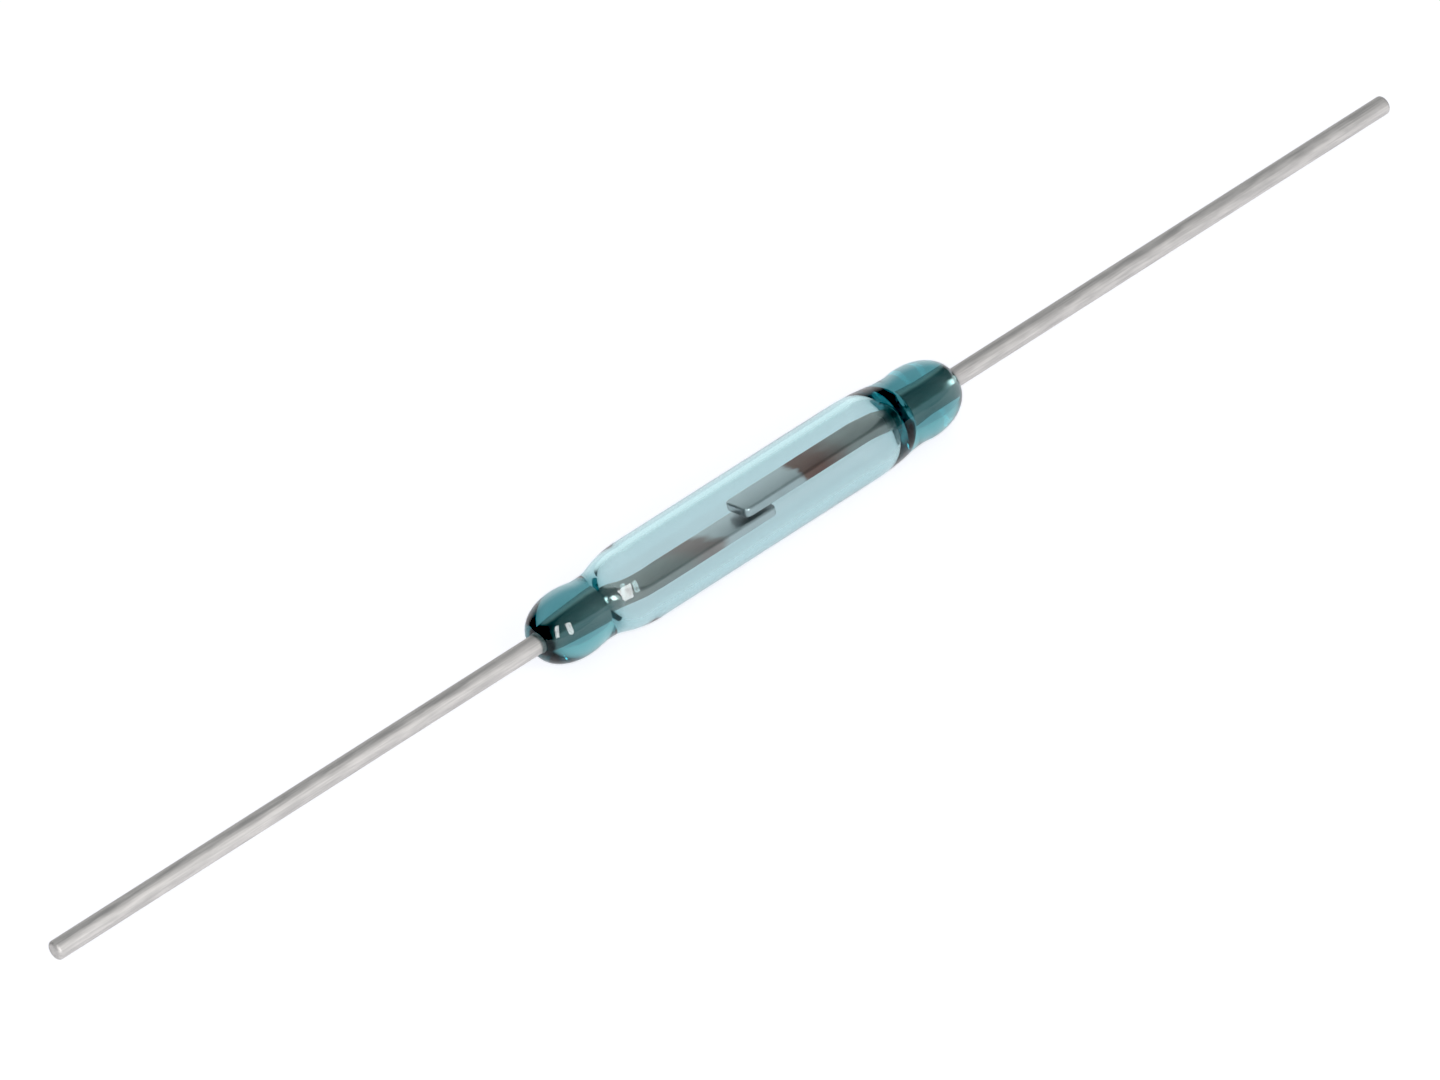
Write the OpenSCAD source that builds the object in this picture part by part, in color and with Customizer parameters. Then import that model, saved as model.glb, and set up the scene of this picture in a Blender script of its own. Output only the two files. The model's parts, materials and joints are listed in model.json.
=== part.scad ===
// Glass reed switch with normally open contacts.
// Two nickel-iron wires are fused into the ends of a tinted glass tube. Inside the tube each wire is
// stamped into a flat blade, and the blades overlap in the middle with a small gap between them.
// X runs along the switch, Z is the direction in which the contacts close, and the origin is the
// middle of the tube. The left blade lies below the gap and the right blade above it.

/* [Glass envelope] */
// Length of the glass from end to end
glass_len = 13.85; // [12:0.05:18]
// Outside diameter of the tube
glass_d = 2.2; // [2:0.05:3]
// Length of the tube between its shoulders
straight_len = 7.1; // [5:0.1:8]
// Wall of the tube between the shoulders
wall = 0.25; // [0.15:0.01:0.4]
// Diameter of the bead at the left end
left_bead_d = 1.85; // [1.4:0.01:2]
// Diameter of the bead at the right end
right_bead_d = 1.98; // [1.4:0.01:2]
// Length of the left bead from its neck to the end of the glass
left_bead_len = 1.9; // [1.5:0.05:2.4]
// Length of the right bead from its neck to the end of the glass
right_bead_len = 1.65; // [1.5:0.05:2.4]
// Length of the rounded end of the left bead
left_bead_round = 1.1; // [0.6:0.05:1.3]
// Length of the rounded end of the right bead
right_bead_round = 1.2; // [0.6:0.05:1.3]
// How far the left neck lies below its bead's radius
left_neck_depth = 0.07; // [0.02:0.01:0.15]
// How far the right neck lies below its bead's radius
right_neck_depth = 0.03; // [0.02:0.01:0.15]
// Share of a shoulder's curve that is the hollow at the neck
shoulder_hollow = 0.3; // [0.1:0.05:0.9]
// How far the solid seal reaches inward from the neck
seal_reach = 0.1; // [0.05:0.05:0.3]
// Length over which the hollow narrows to the seal
cavity_taper = 1.2; // [0.8:0.05:1.5]

/* [Leads] */
// Length of the switch over both leads
overall_len = 44.4; // [30:0.2:60]
// Diameter of the tinned wire outside the glass
wire_d = 0.52; // [0.4:0.01:0.7]
// Radius of the edge at the cut end of a wire
wire_edge = 0.1; // [0.02:0.01:0.15]
// Diameter to which the wire has spread at the inner end of the seal, where the stamping starts
shank_d = 0.62; // [0.4:0.01:0.8]

/* [Blades] */
// Length over which the wire is stamped flat, from the seal to the blade's root
swage_len = 1.5; // [0.6:0.05:2]
// Width of a blade
blade_w = 0.9; // [0.5:0.02:1]
// Thickness of a blade
blade_t = 0.25; // [0.15:0.01:0.35]
// Radius of the long edges of a blade
blade_edge = 0.06; // [0.02:0.01:0.07]
// Radius of the corners at a blade's tip
tip_r = 0.18; // [0.05:0.01:0.24]
// Length by which the blades overlap
overlap = 0.95; // [0.5:0.05:2]
// Gap between the open contacts
contact_gap = 0.11; // [0.05:0.01:0.3]

/* [Hidden] */

$fn = 64;
// Sides of a round section that is blended into a flat one
blend_sides = 32;
// Points along each arc of the glass outline
arc_steps = 8;
// Thickness of the end sections of a blend
slice = 0.01;

tube_r = glass_d / 2;
cavity_r = tube_r - wall;
wire_r = wire_d / 2;
shank_r = shank_d / 2;

// Places along the switch, from the middle outwards
lead_end = overall_len / 2;
glass_end = glass_len / 2;
left_seal = glass_end - left_bead_len - seal_reach;
right_seal = glass_end - right_bead_len - seal_reach;
left_root = left_seal - swage_len;
right_root = right_seal - swage_len;

// Length of a blade from its root to its tip, the same on both sides
blade_len = (left_root + right_root + overlap) / 2;
// Height of a blade's middle above or below the wire's axis
blade_z = (contact_gap + blade_t) / 2;

// Two arcs that meet smoothly between point a and point b and run level along the tube at both
// The first arc takes the given share of the bend
function s_curve(a, b, share) =
    let (
        run = b[0] - a[0],
        rise = b[1] - a[1],
        radii = (run * run + rise * rise) / (2 * abs(rise)),
        sweep = asin(run / radii),
        first = share * radii,
        second = radii - first,
        way = sign(rise)
    )
    concat(
        [for (i = [0 : arc_steps])
            let (turn = sweep * i / arc_steps)
            [a[0] + first * sin(turn), a[1] + way * first * (1 - cos(turn))]],
        [for (i = [arc_steps - 1 : -1 : 1])
            let (turn = sweep * i / arc_steps)
            [b[0] - second * sin(turn), b[1] - way * second * (1 - cos(turn))]]
    );

// Quarter of an ellipse from a level start at point a to an upright end at point b
function quarter(a, b) =
    [for (i = [0 : arc_steps])
        let (turn = 90 * i / arc_steps)
        [a[0] + (b[0] - a[0]) * sin(turn), b[1] + (a[1] - b[1]) * cos(turn)]];

// Arc of a circle that leaves point a level along the tube and ends at point b
function bow(a, b) =
    let (
        run = b[0] - a[0],
        rise = b[1] - a[1],
        radius = (run * run + rise * rise) / (2 * abs(rise)),
        sweep = 2 * atan2(abs(rise), run)
    )
    [for (i = [0 : arc_steps])
        let (turn = sweep * i / arc_steps)
        [a[0] + radius * sin(turn), a[1] + sign(rise) * radius * (1 - cos(turn))]];

function reverse(points) = [for (i = [len(points) - 1 : -1 : 0]) points[i]];

// Outline of one end of the glass, from the tube's outside round the bead and back through the seal
function end_outline(bead_d, bead_len, bead_round, neck_depth) =
    let (
        bead = [glass_end - bead_round, bead_d / 2],
        neck = [glass_end - bead_len, bead_d / 2 - neck_depth],
        seal = [neck[0] - seal_reach, shank_r]
    )
    concat(
        s_curve([straight_len / 2, tube_r], neck, 1 - shoulder_hollow),
        s_curve(neck, bead, 0.5),
        quarter(bead, [glass_end, wire_r]),
        reverse(bow([seal[0] - cavity_taper, cavity_r], seal))
    );

// Turns an outline of places and radii about the X axis
module turned(outline) {
    rotate([0, 90, 0])
        rotate_extrude()
            polygon([for (p = outline) [p[1], p[0]]]);
}

// Tube drawn from one piece, sealed solid round both wires
module glass_envelope() {
    left_end = end_outline(left_bead_d, left_bead_len, left_bead_round, left_neck_depth);
    right_end = end_outline(right_bead_d, right_bead_len, right_bead_round, right_neck_depth);
    color([0.69, 0.8, 0.84, 0.5])
        turned(concat(right_end, reverse([for (p = left_end) [-p[0], p[1]]])));
}

// Round wire from its rounded cut end to the inner end of the seal, spreading inside the glass
module wire(seal) {
    translate([-lead_end, 0, 0])
        rotate([0, 90, 0])
            rotate_extrude() {
                polygon([
                    [0, wire_edge],
                    [wire_r, wire_edge],
                    [wire_r, lead_end - glass_end],
                    [shank_r, lead_end - seal],
                    [0, lead_end - seal]
                ]);
                square([wire_r - wire_edge, 2 * wire_edge]);
                translate([wire_r - wire_edge, wire_edge])
                    circle(wire_edge);
            }
}

// Section of a blade with rounded long edges, drawn out along X
module blade_bar(length) {
    rotate([90, 0, 90])
        linear_extrude(length) {
            square([blade_w - 2 * blade_edge, blade_t], center = true);
            square([blade_w, blade_t - 2 * blade_edge], center = true);
            for (side = [-1, 1], face = [-1, 1])
                translate([side * (blade_w / 2 - blade_edge), face * (blade_t / 2 - blade_edge)])
                    circle(blade_edge);
        }
}

// Stamped stretch in which the round wire becomes the flat blade and steps off the wire's axis
module swage(seal) {
    hull() {
        translate([-seal, 0, 0])
            rotate([0, 90, 0])
                cylinder(r = shank_r, h = slice, $fn = blend_sides);
        translate([swage_len - seal - slice, 0, -blade_z])
            blade_bar(slice, $fn = blend_sides);
    }
}

// Plan of a blade with round corners at its tip, from the root to the tip
module blade_plan() {
    translate([0, -blade_w / 2])
        square([blade_len - tip_r, blade_w]);
    translate([0, tip_r - blade_w / 2])
        square([blade_len, blade_w - 2 * tip_r]);
    for (side = [-1, 1])
        translate([blade_len - tip_r, side * (blade_w / 2 - tip_r)])
            circle(tip_r);
}

// Fixed part of a reed at the left end, with the place where its seal ends inside the tube
module reed_lead(seal) {
    color([0.78, 0.78, 0.77]) {
        wire(seal);
        swage(seal);
    }
}

// Springy part of a reed at the left end, from its root to the contact at its tip
module reed_blade(root) {
    color([0.45, 0.44, 0.43])
        translate([-root, 0, -blade_z])
            intersection() {
                blade_bar(blade_len);
                translate([0, 0, -blade_t])
                    linear_extrude(2 * blade_t)
                        blade_plan();
            }
}

// Both reeds are stamped the same, and the right one is turned end for end
module right_side() {
    rotate([0, 180, 0])
        children();
}

module left_lead() {
    reed_lead(left_seal);
}

module left_blade() {
    reed_blade(left_root);
}

module right_lead() {
    right_side()
        reed_lead(right_seal);
}

module right_blade() {
    right_side()
        reed_blade(right_root);
}

glass_envelope();
left_lead();
left_blade();
right_lead();
right_blade();
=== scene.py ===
"""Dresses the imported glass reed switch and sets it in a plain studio.

The glass tube, the two leads and the two blades are modelled as smooth meshes in the places of the
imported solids, get their finishes, and are seen from the photograph's viewing angle.
"""

import json
import logging
import math
from dataclasses import dataclass
from enum import Enum
from typing import Optional, Union

import bmesh
import bpy
from mathutils import Matrix, Vector


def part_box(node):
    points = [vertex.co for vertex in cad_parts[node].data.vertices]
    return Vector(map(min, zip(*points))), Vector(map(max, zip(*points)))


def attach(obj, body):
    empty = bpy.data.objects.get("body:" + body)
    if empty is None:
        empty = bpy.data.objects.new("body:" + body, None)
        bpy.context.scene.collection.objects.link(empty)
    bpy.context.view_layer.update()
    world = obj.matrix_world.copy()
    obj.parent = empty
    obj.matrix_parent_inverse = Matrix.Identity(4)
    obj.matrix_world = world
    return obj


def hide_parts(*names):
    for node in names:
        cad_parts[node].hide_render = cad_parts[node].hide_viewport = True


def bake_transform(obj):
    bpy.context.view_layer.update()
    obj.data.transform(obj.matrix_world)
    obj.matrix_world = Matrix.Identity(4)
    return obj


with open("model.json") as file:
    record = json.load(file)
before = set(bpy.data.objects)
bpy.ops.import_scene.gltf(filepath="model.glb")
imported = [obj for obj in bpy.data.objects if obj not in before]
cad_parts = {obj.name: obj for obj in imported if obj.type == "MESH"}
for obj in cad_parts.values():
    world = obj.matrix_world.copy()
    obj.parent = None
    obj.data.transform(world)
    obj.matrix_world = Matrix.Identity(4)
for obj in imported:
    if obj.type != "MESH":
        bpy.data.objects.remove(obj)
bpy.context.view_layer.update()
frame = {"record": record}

MM = 0.001
LOG = logging.getLogger("reed_switch")

# How far the tin of the leads reaches into the glass, in millimetres
TIN_INSIDE_MM = 0.15

Point = tuple[float, float]
Colour = tuple[float, float, float]
Sizes = tuple[float, float, float]


class Side(Enum):
    """End of the switch, with its direction along X."""

    LEFT = -1
    RIGHT = 1

    @property
    def label(self) -> str:
        """Word that the side's nodes, bodies and pieces start with."""
        return self.name.lower()


@dataclass(frozen=True)
class HeatMark:
    """Where the plating of one blade ends, and the tint that heat left behind it."""

    plated_mm: float
    border_mm: float
    slant: float
    stain: Colour
    fade_mm: Point


# The left blade is only faintly stained, the right one is brown
HEAT_MARKS = {
    Side.LEFT: HeatMark(
        plated_mm=2.0,
        border_mm=0.22,
        slant=-0.5,
        stain=(0.47, 0.325, 0.30),
        fade_mm=(0.4, 1.4),
    ),
    Side.RIGHT: HeatMark(
        plated_mm=1.94,
        border_mm=0.12,
        slant=0.1,
        stain=(0.32, 0.155, 0.125),
        fade_mm=(0.5, 1.85),
    ),
}


def pin_radius(name: str) -> float:
    """Radius of one of the record's pin mounts, in metres."""
    mount = next(m for m in frame["record"]["mounts"] if m["name"] == name)
    return mount["dims"]["r_mm"] * MM


# Shader maths

class Shade:
    """Number carried by a shader socket, whose arithmetic adds Math nodes."""

    def __init__(self, sheet: "NodeSheet", socket: bpy.types.NodeSocket) -> None:
        """Keeps the socket and the sheet that it belongs to."""
        self.sheet = sheet
        self.socket = socket

    def math(self, operation: str, *terms: "Term") -> "Shade":
        """Adds one Math node.

        Args:
            operation: Name of the Math node's operation.
            terms: Values of its sockets in order.

        Returns:
            The node's result.
        """
        node = self.sheet.add("ShaderNodeMath", {"operation": operation}, dict(enumerate(terms)))
        return Shade(self.sheet, node.outputs[0])

    def __add__(self, other: "Term") -> "Shade":
        """Sum of this value and another."""
        return self.math("ADD", self, other)

    __radd__ = __add__

    def __sub__(self, other: "Term") -> "Shade":
        """This value less another."""
        return self.math("SUBTRACT", self, other)

    def __rsub__(self, other: "Term") -> "Shade":
        """Another value less this one."""
        return self.math("SUBTRACT", other, self)

    def __mul__(self, other: "Term") -> "Shade":
        """Product of this value and another."""
        return self.math("MULTIPLY", self, other)

    __rmul__ = __mul__

    def __abs__(self) -> "Shade":
        """Size of this value without its sign."""
        return self.math("ABSOLUTE", self)

    def step(self, low: float, high: float) -> "Shade":
        """Rises smoothly from 0 to 1.

        Args:
            low: Value at which the step starts.
            high: Value at which the step is complete.

        Returns:
            The stepped value.
        """
        node = self.sheet.add(
            "ShaderNodeMapRange",
            {"interpolation_type": "SMOOTHSTEP"},
            {"Value": self, "From Min": low, "From Max": high, "To Min": 0.0, "To Max": 1.0},
        )
        return Shade(self.sheet, node.outputs["Result"])


Term = Union[Shade, float]
Input = Union[Shade, bpy.types.NodeSocket, float, Colour, tuple[float, float, float, float]]


class NodeSheet:
    """Node tree of one material or of the world."""

    # Numbers of the Mix node's colour sockets
    MIX_FIRST = 6
    MIX_SECOND = 7
    MIX_RESULT = 2
    NOISE_ROUGHNESS = 0.55

    def __init__(self, tree: bpy.types.NodeTree) -> None:
        """Takes over a node tree and empties it."""
        self.tree = tree
        self.tree.nodes.clear()

    @classmethod
    def of_material(cls, name: str) -> tuple[bpy.types.Material, "NodeSheet"]:
        """Makes a material.

        Args:
            name: Name of the material.

        Returns:
            The material and the sheet of its nodes.
        """
        material = bpy.data.materials.new(name)
        material.use_nodes = True
        return material, cls(material.node_tree)

    def add(
        self,
        kind: str,
        settings: Optional[dict[str, object]] = None,
        inputs: Optional[dict[Union[str, int], Input]] = None,
    ) -> bpy.types.Node:
        """Adds a node.

        Args:
            kind: Blender's name of the node's type.
            settings: Properties of the node, set before its sockets.
            inputs: Values or links of its sockets, by name or number.

        Returns:
            The node.
        """
        node = self.tree.nodes.new(kind)
        for name, value in (settings or {}).items():
            setattr(node, name, value)
        for key, value in (inputs or {}).items():
            source = value.socket if isinstance(value, Shade) else value
            if isinstance(source, bpy.types.NodeSocket):
                self.tree.links.new(source, node.inputs[key])
            else:
                node.inputs[key].default_value = source
        return node

    def coordinates(self) -> bpy.types.NodeSocket:
        """Place on the piece in the switch's own frame, in metres."""
        return self.add("ShaderNodeTexCoord").outputs["Object"]

    def axis(self, name: str) -> Shade:
        """Place along one axis, in millimetres.

        Args:
            name: X, Y or Z.

        Returns:
            The place along that axis.
        """
        split = self.add("ShaderNodeSeparateXYZ", None, {"Vector": self.coordinates()})
        return Shade(self, split.outputs[name]) * (1.0 / MM)

    def noise(self, grain_mm: Sizes, detail: float = 3.0, offset: Sizes = (0.0, 0.0, 0.0)) -> Shade:
        """Smooth random pattern.

        Args:
            grain_mm: Size of its features along X, Y and Z, in millimetres.
            detail: Number of finer layers.
            offset: Place in the pattern at the middle of the switch, in features.

        Returns:
            Value from 0 to 1.
        """
        scale = tuple(1.0 / (size * MM) for size in grain_mm)
        place = self.add(
            "ShaderNodeMapping",
            None,
            {"Vector": self.coordinates(), "Location": offset, "Scale": scale},
        )
        texture = self.add(
            "ShaderNodeTexNoise",
            None,
            {
                "Vector": place.outputs["Vector"],
                "Scale": 1.0,
                "Detail": detail,
                "Roughness": self.NOISE_ROUGHNESS,
            },
        )
        return Shade(self, texture.outputs[0])

    def mix(self, share: Term, first: Input, second: Input) -> bpy.types.NodeSocket:
        """Blends two colours.

        Args:
            share: Share of the second colour.
            first: Colour at a share of 0.
            second: Colour at a share of 1.

        Returns:
            The blended colour's socket.
        """
        node = self.add(
            "ShaderNodeMix",
            {"data_type": "RGBA"},
            {"Factor": share, self.MIX_FIRST: self.opaque(first), self.MIX_SECOND: self.opaque(second)},
        )
        return node.outputs[self.MIX_RESULT]

    @staticmethod
    def opaque(colour: Input) -> Input:
        """Gives a plain colour its fourth number and leaves a socket as it is."""
        return colour if isinstance(colour, bpy.types.NodeSocket) else (*colour, 1.0)

    def bump(self, height: Shade, strength: float, depth_mm: float) -> bpy.types.NodeSocket:
        """Turns a height pattern into shading.

        Args:
            height: Height from 0 to 1.
            strength: Share of the effect.
            depth_mm: Depth of the pattern in millimetres.

        Returns:
            The bent normal's socket.
        """
        inputs = {"Height": height, "Strength": strength, "Distance": depth_mm * MM}
        return self.add("ShaderNodeBump", None, inputs).outputs["Normal"]

    def finish(
        self,
        inputs: dict[Union[str, int], Input],
        inside: Optional[bpy.types.NodeSocket] = None,
    ) -> None:
        """Closes the sheet with a Principled shader.

        Args:
            inputs: Sockets of the shader.
            inside: Volume shader of a clear material.
        """
        shader = self.add("ShaderNodeBsdfPrincipled", None, inputs)
        ends: dict[Union[str, int], Input] = {"Surface": shader.outputs["BSDF"]}
        if inside is not None:
            ends["Volume"] = inside
        self.add("ShaderNodeOutputMaterial", None, ends)


# Finishes

@dataclass(frozen=True)
class TintedGlass:
    """Blue-green sealing glass, flame polished, with the faint waves of drawn tube."""

    ior: float = 1.52
    roughness: float = 0.0
    tint: Colour = (0.0, 0.467, 0.51)
    tint_per_metre: float = 1200.0
    wave_mm: Sizes = (1.6, 0.5, 0.5)
    wave_depth_mm: float = 0.004
    wave_strength: float = 0.5

    def material(self) -> bpy.types.Material:
        """Builds the clear, tinted material."""
        material, sheet = NodeSheet.of_material("drawn_glass")
        waves = sheet.noise(self.wave_mm, detail=1.0)
        tint = sheet.add(
            "ShaderNodeVolumeAbsorption",
            None,
            {"Color": (*self.tint, 1.0), "Density": self.tint_per_metre},
        )
        sheet.finish(
            {
                "Base Color": (1.0, 1.0, 1.0, 1.0),
                "Transmission Weight": 1.0,
                "Roughness": self.roughness,
                "IOR": self.ior,
                "Normal": sheet.bump(waves, self.wave_strength, self.wave_depth_mm),
            },
            tint.outputs["Volume"],
        )
        return material


@dataclass(frozen=True)
class RolledAlloy:
    """Grey nickel-iron as it is stamped, with fine streaks along the reed."""

    colour: Colour = (0.44, 0.395, 0.37)
    streak: Colour = (0.12, 0.12, 0.12)
    streak_share: float = 0.25
    streak_mm: Sizes = (0.5, 0.03, 0.05)
    streak_offset: Sizes = (0.0, 9.0, 2.0)
    roughness: float = 0.28
    spread: float = 0.2
    relief_strength: float = 0.3
    relief_mm: float = 0.004

    def streaks(self, sheet: NodeSheet) -> Shade:
        """Pattern of the streaks, from 0 to 1."""
        return sheet.noise(self.streak_mm, detail=4.0, offset=self.streak_offset)

    def streaked(self, sheet: NodeSheet, colour: Input, streaks: Shade) -> bpy.types.NodeSocket:
        """Darkens a colour along the streaks."""
        return sheet.mix(streaks * self.streak_share, colour, self.streak)

    def rough(self, streaks: Shade) -> Shade:
        """Roughness of the stamped face."""
        return streaks * self.spread + self.roughness

    def relief(self, sheet: NodeSheet, height: Shade) -> bpy.types.NodeSocket:
        """Fine relief of lines or streaks in the metal."""
        return sheet.bump(height, self.relief_strength, self.relief_mm)


@dataclass(frozen=True)
class TinnedWire:
    """Satin tin on the lead outside the glass, smooth alloy in the seal and stamped alloy in the tube."""

    tin_start_mm: float
    seal_mm: float
    root_mm: float
    alloy: RolledAlloy = RolledAlloy()
    tin_light: Colour = (0.66, 0.64, 0.62)
    tin_dark: Colour = (0.49, 0.475, 0.46)
    fade_mm: float = 0.06
    draw_lines_mm: Sizes = (1.2, 0.035, 0.035)
    lines_share: float = 0.6
    patches_mm: Sizes = (0.9, 0.22, 0.22)
    patches_offset: Sizes = (7.0, 3.0, 5.0)
    patches_share: float = 0.4
    dull_range: Point = (0.35, 0.65)
    tin_roughness: float = 0.58
    tin_spread: float = 0.14
    sealed_roughness: float = 0.22

    def material(self) -> bpy.types.Material:
        """Builds the metal with its drawing lines, dull patches and streaks."""
        material, sheet = NodeSheet.of_material("drawn_wire")
        away = abs(sheet.axis("X"))
        tinned = away.step(self.tin_start_mm - self.fade_mm, self.tin_start_mm)
        stamped = 1.0 - away.step(self.root_mm, self.seal_mm)
        lines = sheet.noise(self.draw_lines_mm, detail=4.0)
        patches = sheet.noise(self.patches_mm, detail=3.0, offset=self.patches_offset)
        streaks = self.alloy.streaks(sheet)
        pattern = lines * self.lines_share + patches * self.patches_share
        dullness = pattern.step(*self.dull_range)
        tin = sheet.mix(dullness, self.tin_dark, self.tin_light)
        bare = self.alloy.streaked(sheet, self.alloy.colour, streaks * stamped)
        tin_rough = dullness * self.tin_spread + (self.tin_roughness - self.sealed_roughness)
        stamped_rough = self.alloy.rough(streaks) - self.sealed_roughness
        sheet.finish(
            {
                "Base Color": sheet.mix(tinned, bare, tin),
                "Metallic": 1.0,
                "Roughness": tinned * tin_rough + stamped * stamped_rough + self.sealed_roughness,
                "Normal": self.alloy.relief(sheet, lines * tinned + streaks * stamped),
            }
        )
        return material


@dataclass(frozen=True)
class ReedFinish:
    """Stamped alloy of a blade, heat-stained behind its light plated contact."""

    side: Side
    tip_mm: float
    mark: HeatMark
    alloy: RolledAlloy = RolledAlloy()
    plating: Colour = (0.74, 0.70, 0.70)
    plated_polish: float = 0.06
    wobble_mm: float = 0.5
    wobble_grain_mm: Sizes = (0.5, 0.28, 0.28)

    def material(self) -> bpy.types.Material:
        """Builds the blade's metal, from its root to its plated tip."""
        material, sheet = NodeSheet.of_material(f"{self.side.label}_nickel_iron")
        along = sheet.axis("X") * float(self.side.value) + self.tip_mm
        own_offset = (2.0 * self.side.value, 1.0, 4.0)
        wobble = sheet.noise(self.wobble_grain_mm, detail=2.0, offset=own_offset) - 0.5
        behind = along + sheet.axis("Y") * self.mark.slant + wobble * self.wobble_mm - self.mark.plated_mm
        bare = behind.step(-self.mark.border_mm, self.mark.border_mm)
        streaks = self.alloy.streaks(sheet)
        heat = sheet.mix(behind.step(*self.mark.fade_mm), self.mark.stain, self.alloy.colour)
        colour = sheet.mix(bare, self.plating, heat)
        sheet.finish(
            {
                "Base Color": self.alloy.streaked(sheet, colour, streaks),
                "Metallic": 1.0,
                "Roughness": self.alloy.rough(streaks) - (1.0 - bare) * self.plated_polish,
                "Normal": self.alloy.relief(sheet, streaks),
            }
        )
        return material


# Shapes

def s_curve(start: Point, end: Point, share: float, steps: int) -> list[Point]:
    """Two arcs that meet smoothly and run level along the tube at both ends.

    Args:
        start: Place and radius of the first end.
        end: Place and radius of the second end.
        share: Share of the bend that the first arc takes.
        steps: Points along each arc.

    Returns:
        Places and radii along the curve.
    """
    run = end[0] - start[0]
    rise = end[1] - start[1]
    radii = (run * run + rise * rise) / (2.0 * abs(rise))
    sweep = math.asin(run / radii)
    first = share * radii
    second = radii - first
    way = math.copysign(1.0, rise)
    turns = [sweep * i / steps for i in range(steps + 1)]
    rising = [(start[0] + first * math.sin(t), start[1] + way * first * (1.0 - math.cos(t))) for t in turns]
    settling = [(end[0] - second * math.sin(t), end[1] - way * second * (1.0 - math.cos(t))) for t in turns]
    return rising + settling[-2::-1]


def quarter(start: Point, end: Point, steps: int) -> list[Point]:
    """Quarter of an ellipse from a level start to an upright end.

    Args:
        start: Place and radius of the level end.
        end: Place and radius of the upright end.
        steps: Points along the curve.

    Returns:
        Places and radii along the curve.
    """
    turns = [math.pi / 2.0 * i / steps for i in range(steps + 1)]
    return [
        (start[0] + (end[0] - start[0]) * math.sin(t), end[1] + (start[1] - end[1]) * math.cos(t))
        for t in turns
    ]


def bow(start: Point, end: Point, steps: int) -> list[Point]:
    """Arc of a circle that leaves its start level along the tube.

    Args:
        start: Place and radius of the level end.
        end: Place and radius of the other end.
        steps: Points along the arc.

    Returns:
        Places and radii along the arc.
    """
    run = end[0] - start[0]
    rise = end[1] - start[1]
    radius = (run * run + rise * rise) / (2.0 * abs(rise))
    sweep = 2.0 * math.atan2(abs(rise), run)
    way = math.copysign(1.0, rise)
    turns = [sweep * i / steps for i in range(steps + 1)]
    return [(start[0] + radius * math.sin(t), start[1] + way * radius * (1.0 - math.cos(t))) for t in turns]


def piece_from(
    shape: bmesh.types.BMesh,
    name: str,
    material: bpy.types.Material,
    crease_deg: float = 40.0,
) -> bpy.types.Object:
    """Turns a finished shape into an object at the origin.

    Args:
        shape: The shape, in metres in the switch's frame. It is freed.
        name: Name of the piece.
        material: Its finish.
        crease_deg: Edges sharper than this stay sharp.

    Returns:
        The object.
    """
    bmesh.ops.recalc_face_normals(shape, faces=shape.faces)
    crease = math.radians(crease_deg)
    for face in shape.faces:
        face.smooth = True
    for edge in shape.edges:
        edge.smooth = edge.calc_face_angle(0.0) < crease
    mesh = bpy.data.meshes.new(name)
    shape.to_mesh(mesh)
    shape.free()
    mesh.materials.append(material)
    piece = bpy.data.objects.new(name, mesh)
    bpy.context.scene.collection.objects.link(piece)
    LOG.info("%s: %d faces, %s", name, len(mesh.polygons), material.name)
    return piece


@dataclass(frozen=True)
class Section:
    """Cross-section of a reed: a rectangle with round corners, or a circle where the corners meet."""

    x: float
    half_width: float
    half_thick: float
    corner: float
    z: float = 0.0

    def ring(self, shape: bmesh.types.BMesh, sides: int) -> list[bmesh.types.BMEdge]:
        """Draws the section.

        Args:
            shape: Shape that it is added to.
            sides: Number of edges, a multiple of 4.

        Returns:
            The edges of its outline.
        """
        half_step = Matrix.Rotation(math.pi / sides, 4, "Z")
        verts = bmesh.ops.create_circle(shape, radius=self.corner, segments=sides, matrix=half_step)["verts"]
        spread = (self.half_width - self.corner, self.half_thick - self.corner)
        for across in (-1.0, 1.0):
            for up in (-1.0, 1.0):
                corner = [v for v in verts if v.co.x * across > 0.0 and v.co.y * up > 0.0]
                bmesh.ops.translate(shape, verts=corner, vec=(across * spread[0], up * spread[1], 0.0))
        upright = Matrix(((0, 0, 1, self.x), (1, 0, 0, 0), (0, 1, 0, self.z), (0, 0, 0, 1)))
        bmesh.ops.transform(shape, matrix=upright, verts=verts)
        return list({edge for v in verts for edge in v.link_edges})


def loft(sections: list[Section], sides: int) -> bmesh.types.BMesh:
    """Skins a row of sections and closes both ends.

    Args:
        sections: Sections in order along X.
        sides: Number of edges of each section.

    Returns:
        The closed shape.
    """
    shape = bmesh.new()
    rings = [section.ring(shape, sides) for section in sections]
    for one, two in zip(rings, rings[1:]):
        bmesh.ops.bridge_loops(shape, edges=one + two)
    for end in (rings[0], rings[-1]):
        bmesh.ops.contextual_create(shape, geom=end)
    return shape


def eased(share: float) -> float:
    """Share of a change that starts and ends gently."""
    return share * share * (3.0 - 2.0 * share)


def edge_inset(distance: float, radius: float) -> float:
    """How far a rounded edge lies inside its corner, at a distance from the end."""
    if distance >= radius:
        return 0.0
    return radius - math.sqrt(max(0.0, distance * (2.0 * radius - distance)))


def rounded_places(radius: float, steps: int) -> list[float]:
    """Distances from an end that follow a rounded edge in even turns."""
    return [radius * (1.0 - math.cos(math.pi / 2.0 * i / steps)) for i in range(steps + 1)]


# Pieces of the switch

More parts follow.
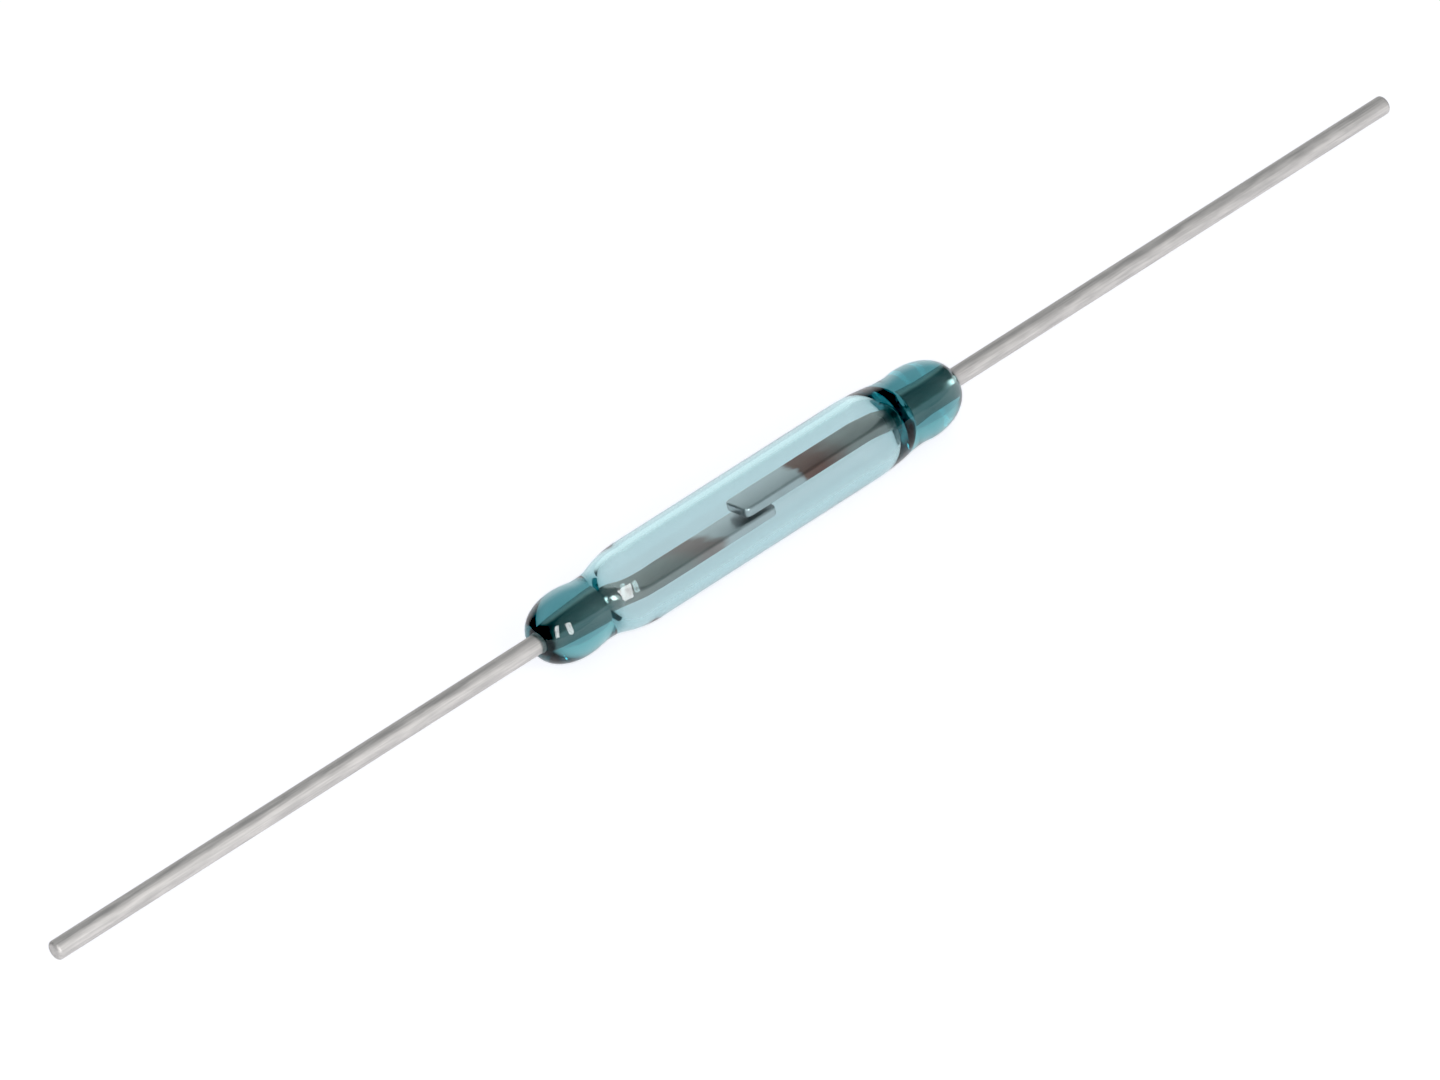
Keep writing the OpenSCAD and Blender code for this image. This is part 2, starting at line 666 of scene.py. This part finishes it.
@dataclass
class Reed:
    """One nickel-iron wire: a round lead, a swaged stretch and a flat blade with the contact at its tip."""

    side: Side
    wire_r: float
    lead_end: float
    glass_end: float
    root_x: float
    blade_len: float
    blade_z: float
    half_width: float
    half_thick: float
    shank_r: float = 0.31 * MM
    swage_len: float = 1.5 * MM
    wire_edge: float = 0.1 * MM
    blade_edge: float = 0.06 * MM
    tip_r: float = 0.18 * MM
    bend_len: float = 2.4 * MM
    sides: int = 64
    round_steps: int = 8
    swage_steps: int = 20
    blade_steps: int = 16

    @classmethod
    def from_frame(cls, side: Side) -> "Reed":
        """Takes a reed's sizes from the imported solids.

        Args:
            side: End of the switch.

        Returns:
            The reed.
        """
        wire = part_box(f"{side.label}_lead")
        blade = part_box(f"{side.label}_blade")
        outer = 0 if side is Side.LEFT else 1
        half = (blade[1] - blade[0]) / 2.0
        return cls(
            side=side,
            wire_r=pin_radius(f"{side.label}_lead"),
            lead_end=abs(wire[outer].x),
            glass_end=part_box("glass_envelope")[1].x,
            root_x=abs(blade[outer].x),
            blade_len=2.0 * half.x,
            blade_z=abs(blade[0].z + blade[1].z) / 2.0,
            half_width=half.y,
            half_thick=half.z,
        )

    @property
    def seal_x(self) -> float:
        """Place where the seal ends inside the tube and the stamping starts."""
        return self.root_x + self.swage_len

    def placed(self, shape: bmesh.types.BMesh) -> bmesh.types.BMesh:
        """Turns a shape drawn for the left end round to this reed's end."""
        if self.side is Side.RIGHT:
            bmesh.ops.rotate(shape, verts=shape.verts, matrix=Matrix.Rotation(math.pi, 3, "Y"))
        return shape

    def wire_sections(self) -> list[Section]:
        """Sections of the round wire, from its cut end to the inner end of the seal."""
        cut = [
            (-self.lead_end + place, self.wire_r - edge_inset(place, self.wire_edge))
            for place in rounded_places(self.wire_edge, self.round_steps)
        ]
        rest = [(-self.glass_end, self.wire_r), (-self.seal_x, self.shank_r)]
        return [Section(x, r, r, r) for x, r in cut + rest]

    def swage_sections(self) -> list[Section]:
        """Sections in which the round wire is stamped flat and steps off its axis."""
        sections = []
        for i in range(1, self.swage_steps + 1):
            share = i / self.swage_steps
            change = eased(share)
            sections.append(
                Section(
                    x=-self.seal_x + self.swage_len * share,
                    half_width=self.shank_r + (self.half_width - self.shank_r) * change,
                    half_thick=self.shank_r + (self.half_thick - self.shank_r) * change,
                    corner=self.shank_r + (self.blade_edge - self.shank_r) * change,
                    z=-self.blade_z * change,
                )
            )
        return sections

    def blade_sections(self) -> list[Section]:
        """Sections of the flat blade, from its root to its rounded tip."""
        straight = self.blade_len - self.tip_r
        even = [self.blade_len - straight * i / self.blade_steps for i in range(self.blade_steps)]
        edges = (self.tip_r, self.blade_edge)
        tip = {place for radius in edges for place in rounded_places(radius, self.round_steps)}
        return [
            Section(
                x=self.blade_len - self.root_x - place,
                half_width=self.half_width - edge_inset(place, self.tip_r),
                half_thick=self.half_thick - edge_inset(place, self.blade_edge),
                corner=self.blade_edge,
                z=-self.blade_z,
            )
            for place in even + sorted(tip, reverse=True)
        ]

    def build_lead(self, finish: bpy.types.Material) -> bpy.types.Object:
        """Makes the lead with its swaged end.

        Args:
            finish: Material of the wire.

        Returns:
            The piece.
        """
        shape = loft(self.wire_sections() + self.swage_sections(), self.sides)
        piece = piece_from(self.placed(shape), f"{self.side.label}_wire", finish)
        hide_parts(f"{self.side.label}_lead")
        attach(piece, "envelope")
        return piece

    def build_blade(self, finish: bpy.types.Material) -> bpy.types.Object:
        """Makes the blade in its resting place. The real blade bends from its root as the contacts close.

        Args:
            finish: Material of the blade.

        Returns:
            The piece.
        """
        shape = loft(self.blade_sections(), self.sides)
        piece = piece_from(self.placed(shape), f"{self.side.label}_reed_blade", finish)
        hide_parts(f"{self.side.label}_blade")
        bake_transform(piece)
        return piece


@dataclass(frozen=True)
class GlassEnd:
    """Flame-formed bead at one end of the tube."""

    bead_r: float
    bead_len: float
    bead_round: float
    neck_depth: float


@dataclass
class GlassTube:
    """Glass tube drawn from one piece and sealed round both wires."""

    tube_r: float
    straight_len: float = 7.1 * MM
    wall: float = 0.25 * MM
    left_end: GlassEnd = GlassEnd(
        bead_r=0.925 * MM,
        bead_len=1.9 * MM,
        bead_round=1.1 * MM,
        neck_depth=0.07 * MM,
    )
    right_end: GlassEnd = GlassEnd(
        bead_r=0.99 * MM,
        bead_len=1.65 * MM,
        bead_round=1.2 * MM,
        neck_depth=0.03 * MM,
    )
    shoulder_hollow: float = 0.3
    neck_hollow: float = 0.5
    cavity_taper: float = 1.2 * MM
    fused: float = 0.002 * MM
    sides: int = 128
    steps: int = 16

    def end_outline(self, end: GlassEnd, reed: Reed) -> list[Point]:
        """Outline of one end, from the tube's outside round the bead and back through the seal.

        Args:
            end: Form of the bead.
            reed: Wire that is sealed into it.

        Returns:
            Places outward from the middle, and radii.
        """
        shoulder = (self.straight_len / 2.0, self.tube_r)
        neck = (reed.glass_end - end.bead_len, end.bead_r - end.neck_depth)
        bead = (reed.glass_end - end.bead_round, end.bead_r)
        wire = (reed.glass_end, reed.wire_r - self.fused)
        seal = (reed.seal_x, reed.shank_r - self.fused)
        cavity = (reed.seal_x - self.cavity_taper, self.tube_r - self.wall)
        return (
            s_curve(shoulder, neck, 1.0 - self.shoulder_hollow, self.steps)
            + s_curve(neck, bead, self.neck_hollow, self.steps)[1:]
            + quarter(bead, wire, self.steps)[1:]
            + bow(cavity, seal, self.steps)[::-1]
        )

    def build(self, reeds: dict[Side, Reed], finish: bpy.types.Material) -> bpy.types.Object:
        """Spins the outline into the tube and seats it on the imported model.

        Args:
            reeds: Wires that are sealed into the ends.
            finish: Material of the glass.

        Returns:
            The piece.
        """
        left = [(-x, r) for x, r in self.end_outline(self.left_end, reeds[Side.LEFT])]
        outline = self.end_outline(self.right_end, reeds[Side.RIGHT]) + left[::-1]
        shape = bmesh.new()
        verts = [shape.verts.new((x, 0.0, r)) for x, r in outline]
        edges = [shape.edges.new(pair) for pair in zip(verts, verts[1:] + verts[:1])]
        bmesh.ops.spin(
            shape,
            geom=verts + edges,
            cent=(0.0, 0.0, 0.0),
            axis=(1.0, 0.0, 0.0),
            angle=math.tau,
            steps=self.sides,
            use_merge=True,
        )
        piece = piece_from(shape, "glass_tube", finish)
        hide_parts("glass_envelope")
        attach(piece, "envelope")
        return piece


# Studio

def direction(azimuth_deg: float, elevation_deg: float) -> Vector:
    """Way from the switch to a place in the room. Azimuth 0 is toward -Y and 90 toward +X."""
    a, e = math.radians(azimuth_deg), math.radians(elevation_deg)
    return Vector((math.sin(a) * math.cos(e), -math.cos(a) * math.cos(e), math.sin(e)))


@dataclass(frozen=True)
class LightWall:
    """Soft patch of light on the room, placed by its direction, that fades out round its edge."""

    light: Colour
    azimuth_deg: float
    elevation_deg: float
    full_deg: float
    edge_deg: float

    def share(self, sheet: NodeSheet) -> Shade:
        """Share of the patch in each direction."""
        way = sheet.add("ShaderNodeTexCoord").outputs["Generated"]
        middle = direction(self.azimuth_deg, self.elevation_deg)
        toward = sheet.add("ShaderNodeVectorMath", {"operation": "DOT_PRODUCT"}, {0: way, 1: middle})
        edges = [math.cos(math.radians(angle)) for angle in (self.edge_deg, self.full_deg)]
        return Shade(sheet, toward.outputs["Value"]).step(*edges)


@dataclass(frozen=True)
class Softbox:
    """Rectangular lamp, placed by its direction from the switch and sized by the angles it fills."""

    name: str
    azimuth_deg: float
    elevation_deg: float
    width_deg: float = 11.0
    height_deg: float = 38.0
    radiance: float = 14.0
    reach: float = 1.0

    def build(self) -> None:
        """Hangs the lamp facing the switch."""
        away = direction(self.azimuth_deg, self.elevation_deg)
        lamp = bpy.data.lights.new(self.name, "AREA")
        lamp.shape = "RECTANGLE"
        lamp.size = 2.0 * self.reach * math.tan(math.radians(self.width_deg / 2.0))
        lamp.size_y = 2.0 * self.reach * math.tan(math.radians(self.height_deg / 2.0))
        lamp.energy = self.radiance * math.pi * lamp.size * lamp.size_y
        holder = bpy.data.objects.new(self.name, lamp)
        holder.location = away * self.reach
        holder.rotation_euler = away.to_track_quat("Z", "Y").to_euler()
        bpy.context.scene.collection.objects.link(holder)


@dataclass
class Studio:
    """Pale floor, soft light and the camera at the photograph's viewing angle."""

    floor_z: float
    floor_size: float = 4.0
    floor_grey: float = 0.4
    floor_glow: float = 0.93
    floor_tone: Colour = (0.99, 1.0, 1.05)
    room: Colour = (0.15, 0.16, 0.17)
    ceiling: LightWall = LightWall(
        light=(0.53, 0.56, 0.58),
        azimuth_deg=0.0,
        elevation_deg=90.0,
        full_deg=35.0,
        edge_deg=55.0,
    )
    front: LightWall = LightWall(
        light=(0.58, 0.60, 0.62),
        azimuth_deg=25.0,
        elevation_deg=15.0,
        full_deg=40.0,
        edge_deg=65.0,
    )
    backdrop: LightWall = LightWall(
        light=(1.6, 1.6, 1.62),
        azimuth_deg=158.0,
        elevation_deg=2.0,
        full_deg=10.0,
        edge_deg=52.0,
    )
    exposure: float = -0.29
    black_level: float = 0.042
    near_softbox: Softbox = Softbox("near_softbox", azimuth_deg=-41.0, elevation_deg=24.0)
    side_softbox: Softbox = Softbox("side_softbox", azimuth_deg=-8.0, elevation_deg=18.0)
    tilt_deg: float = 27.97
    blade_turn_deg: float = 56.5
    picture_turn_deg: float = 32.54
    lens_mm: float = 262.3
    sensor_mm: float = 36.0
    distance: float = 260.65 * MM
    shift_along: float = 0.924 * MM
    shift_across: float = 0.266 * MM

    def build_floor(self) -> None:
        """Lays a plain white floor under the tube."""
        material, sheet = NodeSheet.of_material("studio_floor")
        grey = (self.floor_grey,) * 3
        sheet.finish(
            {
                "Base Color": (*grey, 1.0),
                "Roughness": 1.0,
                "Specular IOR Level": 0.0,
                "Emission Color": (*self.floor_tone, 1.0),
                "Emission Strength": self.floor_glow,
            }
        )
        shape = bmesh.new()
        lowered = Matrix.Translation((0.0, 0.0, self.floor_z))
        bmesh.ops.create_grid(shape, x_segments=1, y_segments=1, size=self.floor_size / 2.0, matrix=lowered)
        piece_from(shape, "studio_floor", material)

    def build_room(self) -> None:
        """Surrounds the floor with a dim room, lit by soft patches above, in front and behind."""
        world = bpy.data.worlds.new("studio_light")
        world.use_nodes = True
        bpy.context.scene.world = world
        sheet = NodeSheet(world.node_tree)
        light: Input = self.room
        for wall in (self.ceiling, self.front, self.backdrop):
            light = sheet.mix(wall.share(sheet), light, wall.light)
        background = sheet.add("ShaderNodeBackground", None, {"Color": light, "Strength": 1.0})
        sheet.add("ShaderNodeOutputWorld", None, {"Surface": background.outputs["Background"]})

    def build_camera(self) -> None:
        """Sets the camera where the photograph was taken from."""
        tilt = math.radians(self.tilt_deg)
        turn = math.radians(self.blade_turn_deg)
        roll = math.radians(self.picture_turn_deg)
        toward = Vector((-math.sin(tilt), -math.cos(tilt) * math.sin(turn), math.cos(tilt) * math.cos(turn)))
        along = Vector((math.cos(tilt), -math.sin(tilt) * math.sin(turn), math.sin(tilt) * math.cos(turn)))
        across = Vector((0.0, math.cos(turn), math.sin(turn)))
        right = math.cos(roll) * along - math.sin(roll) * across
        up = math.sin(roll) * along + math.cos(roll) * across
        camera = bpy.data.cameras.new("photo_camera")
        camera.sensor_fit = "HORIZONTAL"
        camera.sensor_width = self.sensor_mm
        camera.lens = self.lens_mm
        camera.clip_start = 0.1 * self.distance
        camera.clip_end = 2.0 * self.floor_size
        holder = bpy.data.objects.new("photo_camera", camera)
        place = self.distance * toward - self.shift_along * along - self.shift_across * across
        holder.matrix_world = Matrix.Translation(place) @ Matrix((right, up, toward)).transposed().to_4x4()
        bpy.context.scene.collection.objects.link(holder)
        bpy.context.scene.camera = holder

    def build(self) -> None:
        """Builds the whole studio."""
        self.build_floor()
        self.build_room()
        self.near_softbox.build()
        self.side_softbox.build()
        self.build_camera()
        view = bpy.context.scene.view_settings
        view.view_transform = "Standard"
        view.exposure = self.exposure
        view.use_curve_mapping = True
        view.curve_mapping.black_level = (self.black_level,) * 3
        view.curve_mapping.update()


def main() -> None:
    """Builds the switch and the studio in order."""
    logging.basicConfig(level=logging.INFO, format="%(name)s: %(message)s")
    reeds = {side: Reed.from_frame(side) for side in Side}
    GlassTube(tube_r=pin_radius("tube_body")).build(reeds, TintedGlass().material())
    glass_low, glass_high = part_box("glass_envelope")
    wire = TinnedWire(
        tin_start_mm=glass_high.x / MM - TIN_INSIDE_MM,
        seal_mm=min(reed.seal_x for reed in reeds.values()) / MM,
        root_mm=max(reed.root_x for reed in reeds.values()) / MM,
    ).material()
    for side, reed in reeds.items():
        reed.build_lead(wire)
        tip_mm = (reed.blade_len - reed.root_x) / MM
        reed.build_blade(ReedFinish(side, tip_mm, HEAT_MARKS[side]).material())
    Studio(floor_z=glass_low.z).build()


if __name__ == "__main__":
    main()
